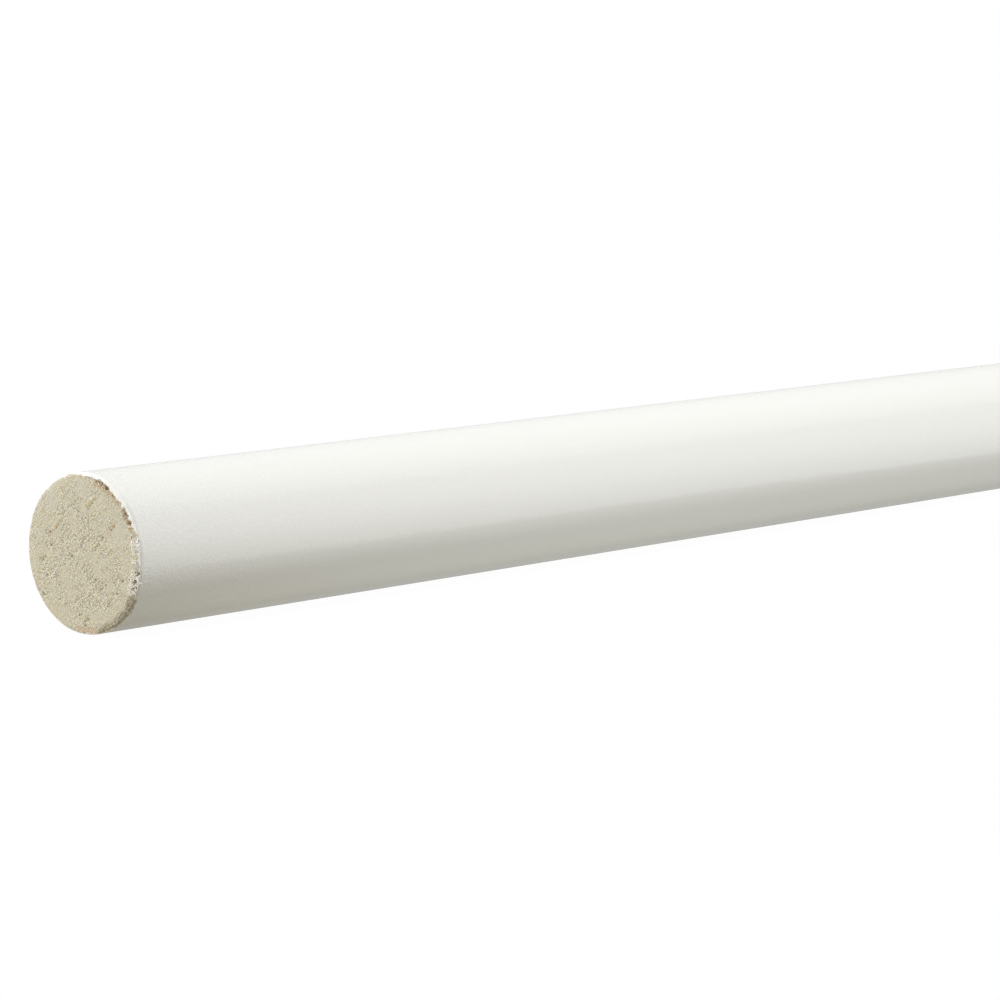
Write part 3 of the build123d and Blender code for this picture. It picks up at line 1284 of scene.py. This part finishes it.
def stage_piece(name, corners, faces, material):
    """A flat piece of the stage, which isn't part of the dowel."""
    mesh = bpy.data.meshes.new(name)
    mesh.from_pydata(corners, [], faces)
    mesh.materials.append(material)
    piece = bpy.data.objects.new(name, mesh)
    bpy.context.scene.collection.objects.link(piece)
    return piece


def shown_white(nodes):
    """One for the rays that show the surroundings, to the camera, in gloss or through glass."""
    path = nodes.add("ShaderNodeLightPath").outputs
    seen = nodes.math("MAXIMUM", path["Is Camera Ray"], path["Is Glossy Ray"])
    return nodes.math("MAXIMUM", seen, path["Is Transmission Ray"])


def glow_along(nodes, colours, stock):
    """A colour that passes into another along the dowel, fast by the near end and then less and less."""
    x = nodes.separate(nodes.add("ShaderNodeTexCoord").outputs["Object"])[0]
    away = nodes.math("MAXIMUM", nodes.math("ADD", x, stock.length / 2), 0.0)
    fading = nodes.math("EXPONENT", nodes.math("DIVIDE", away, -GLOW_FADE))
    near, far = colours
    return nodes.blend(fading, far, near)


def floor_material(stock):
    """A grey floor that lights the dowel a little, and shows white with a trace of its shadow."""
    material, nodes = empty_material("studio_floor")
    material.cycles.emission_sampling = "NONE"
    x, y, _ = nodes.separate(nodes.add("ShaderNodeTexCoord").outputs["Object"])
    aside = nodes.ramp(nodes.math("ABSOLUTE", y), *PAPER_ASIDE, 1.0, 0.0)
    along = nodes.ramp(nodes.math("ABSOLUTE", x), *PAPER_ALONG, 1.0, 0.0)
    share = nodes.math("MULTIPLY", nodes.math("MULTIPLY", aside, along), PAPER_SHARE)
    paper = nodes.add("ShaderNodeBsdfDiffuse", {"Color": (PAPER_WHITE, PAPER_WHITE, PAPER_WHITE, 1.0)})
    glossy = nodes.add("ShaderNodeLightPath").outputs["Is Glossy Ray"]
    white = nodes.add("ShaderNodeEmission", {"Strength": nodes.mix(glossy, 1.0, FRONT_WHITE)})
    shown = nodes.add("ShaderNodeMixShader", {0: share, 1: white.outputs[0], 2: paper.outputs[0]})
    grey = nodes.add("ShaderNodeBsdfDiffuse", {"Color": (FLOOR_GREY, FLOOR_GREY, FLOOR_GREY, 1.0)})
    glow = nodes.add("ShaderNodeEmission", {"Color": glow_along(nodes, FLOOR_GLOW, stock)})
    light = nodes.add("ShaderNodeAddShader", {0: grey.outputs[0], 1: glow.outputs[0]})
    mixed = nodes.add("ShaderNodeMixShader", {
        0: shown_white(nodes),
        1: light.outputs[0],
        2: shown.outputs[0],
    })
    nodes.add("ShaderNodeOutputMaterial", {"Surface": mixed.outputs[0]})
    return material


def card_material(stock):
    """A card that lights the dowel's underside evenly, and is dark in its gloss as a painted shadow of the
    dowel on the floor.
    """
    material, nodes = empty_material("studio_card")
    material.cycles.emission_sampling = "NONE"
    diffuse = nodes.add("ShaderNodeLightPath").outputs["Is Diffuse Ray"]
    y = nodes.separate(nodes.add("ShaderNodeTexCoord").outputs["Object"])[1]
    in_gloss = nodes.ramp(y, *CARD_STRIP, *CARD_IN_GLOSS)
    glow = nodes.add("ShaderNodeEmission", {
        "Color": nodes.blend(diffuse, in_gloss, glow_along(nodes, CARD_GLOW, stock)),
    })
    nodes.add("ShaderNodeOutputMaterial", {"Surface": glow.outputs[0]})
    return material


def set_floor_and_card(stock):
    """The floor, and the card under the dowel that the camera doesn't see."""
    half = FLOOR_SIDE / 2
    square = [(-half, -half, 0), (half, -half, 0), (half, half, 0), (-half, half, 0)]
    stage_piece("floor", square, [(0, 1, 2, 3)], floor_material(stock))
    near, far = CARD_FRONT[0][0], CARD_FRONT[-1][0]
    edges = [*CARD_FRONT, (far, -CARD_GAP), (near, -CARD_GAP)]
    front = len(edges)
    edges += [(near, CARD_GAP), (far, CARD_GAP), (far, CARD_BACK), (near, CARD_BACK)]
    corners = [(x, y, CARD_LEVEL) for x, y in edges]
    faces = [tuple(range(front)), tuple(range(front, len(corners)))]
    card = stage_piece("card", corners, faces, card_material(stock))
    card.visible_camera = False
    card.visible_shadow = False


def light_world():
    """Surroundings that show white, a little less so in gloss, and cast no light of their own."""
    world = bpy.data.worlds.new("studio")
    world.use_nodes = True
    world.node_tree.nodes.clear()
    nodes = Nodes(world.node_tree)
    _, y, z = nodes.separate(nodes.add("ShaderNodeTexCoord").outputs["Generated"])
    turn = nodes.math("ARCTAN2", z, nodes.math("MULTIPLY", y, -1.0))
    in_gloss = nodes.ramp(turn, *FRONT_EDGE, FRONT_WHITE, TOP_WHITE)
    in_gloss = nodes.mix(nodes.ramp(turn, *BACK_EDGE), in_gloss, BACK_WHITE)
    glossy = nodes.add("ShaderNodeLightPath").outputs["Is Glossy Ray"]
    strength = nodes.mix(glossy, shown_white(nodes), in_gloss)
    white = nodes.add("ShaderNodeBackground", {"Color": (1.0, 1.0, 1.0, 1.0), "Strength": strength})
    nodes.add("ShaderNodeOutputWorld", {"Surface": white.outputs[0]})
    world.cycles.sampling_method = "NONE"
    bpy.context.scene.world = world


def place_camera(studio, stock):
    """A camera with no roll that shows the near end's middle at its pixel and distance."""
    data = bpy.data.cameras.new("camera")
    data.lens = studio.lens
    data.clip_end = 2 * FLOOR_SIDE
    ahead = Vector((
        math.cos(studio.pitch) * math.cos(studio.heading),
        math.cos(studio.pitch) * math.sin(studio.heading),
        -math.sin(studio.pitch),
    ))
    right = Vector((math.sin(studio.heading), -math.cos(studio.heading), 0.0))
    up = right.cross(ahead)
    pixel = data.sensor_width / PICTURE_SIDE / studio.lens * studio.end_distance
    aside = (studio.end_pixel[0] - PICTURE_SIDE / 2) * pixel
    below = (studio.end_pixel[1] - PICTURE_SIDE / 2) * pixel
    near_end = Vector((-stock.length / 2, 0.0, stock.diameter / 2))
    place = near_end - studio.end_distance * ahead - aside * right + below * up
    turn = Matrix((right, up, -ahead)).transposed().to_4x4()
    camera = bpy.data.objects.new("camera", data)
    camera.matrix_world = Matrix.Translation(place) @ turn
    bpy.context.scene.collection.objects.link(camera)
    bpy.context.scene.camera = camera


class DOWEL_OT_set_stage(bpy.types.Operator):
    """Set the floor, the surroundings, the lamps and the camera"""

    bl_idname = "dowel.set_stage"
    bl_label = "Set Stage"

    def execute(self, context):
        studio = context.scene.dowel_studio
        stock = context.scene.dowel_stock
        set_floor_and_card(stock)
        light_world()
        for name, along, angle in STRIP_LAMPS:
            strip_lamp(name, along, angle, getattr(studio, f"{name}_power"))
        near_end = (-stock.length / 2, 0.0, stock.diameter / 2)
        new_lamp("end", END_LAMP, near_end, END_LAMP_SIZE, studio.end_power)
        place_camera(studio, stock)
        context.scene.view_settings.view_transform = "Standard"
        return {"FINISHED"}


class DOWEL_PT_panel(bpy.types.Panel):
    """Lists the dowel's settings and the steps that make it"""

    bl_idname = "DOWEL_PT_panel"
    bl_label = "Painted Wooden Dowel"
    bl_space_type = "VIEW_3D"
    bl_region_type = "UI"
    bl_category = "Dowel"

    def draw(self, context):
        for operator in OPERATORS:
            self.layout.operator(operator.bl_idname)
        for holder in SETTINGS:
            settings = getattr(context.scene, holder)
            for name in settings.bl_rna.properties.keys():
                if name not in {"rna_type", "name"}:
                    self.layout.prop(settings, name)


SETTINGS = {
    "dowel_stock": DowelStockSettings,
    "dowel_finish": DowelFinishSettings,
    "dowel_studio": DowelStudioSettings,
}
OPERATORS = (DOWEL_OT_make_stock, DOWEL_OT_set_stage)
CLASSES = (*SETTINGS.values(), *OPERATORS, DOWEL_PT_panel)


def register():
    for cls in CLASSES:
        bpy.utils.register_class(cls)
    for holder, cls in SETTINGS.items():
        setattr(bpy.types.Scene, holder, PointerProperty(type=cls))


def unregister():
    for holder in SETTINGS:
        delattr(bpy.types.Scene, holder)
    for cls in reversed(CLASSES):
        bpy.utils.unregister_class(cls)


def main():
    register()
    bpy.ops.dowel.make_stock()
    bpy.ops.dowel.set_stage()


if __name__ == "__main__":
    main()
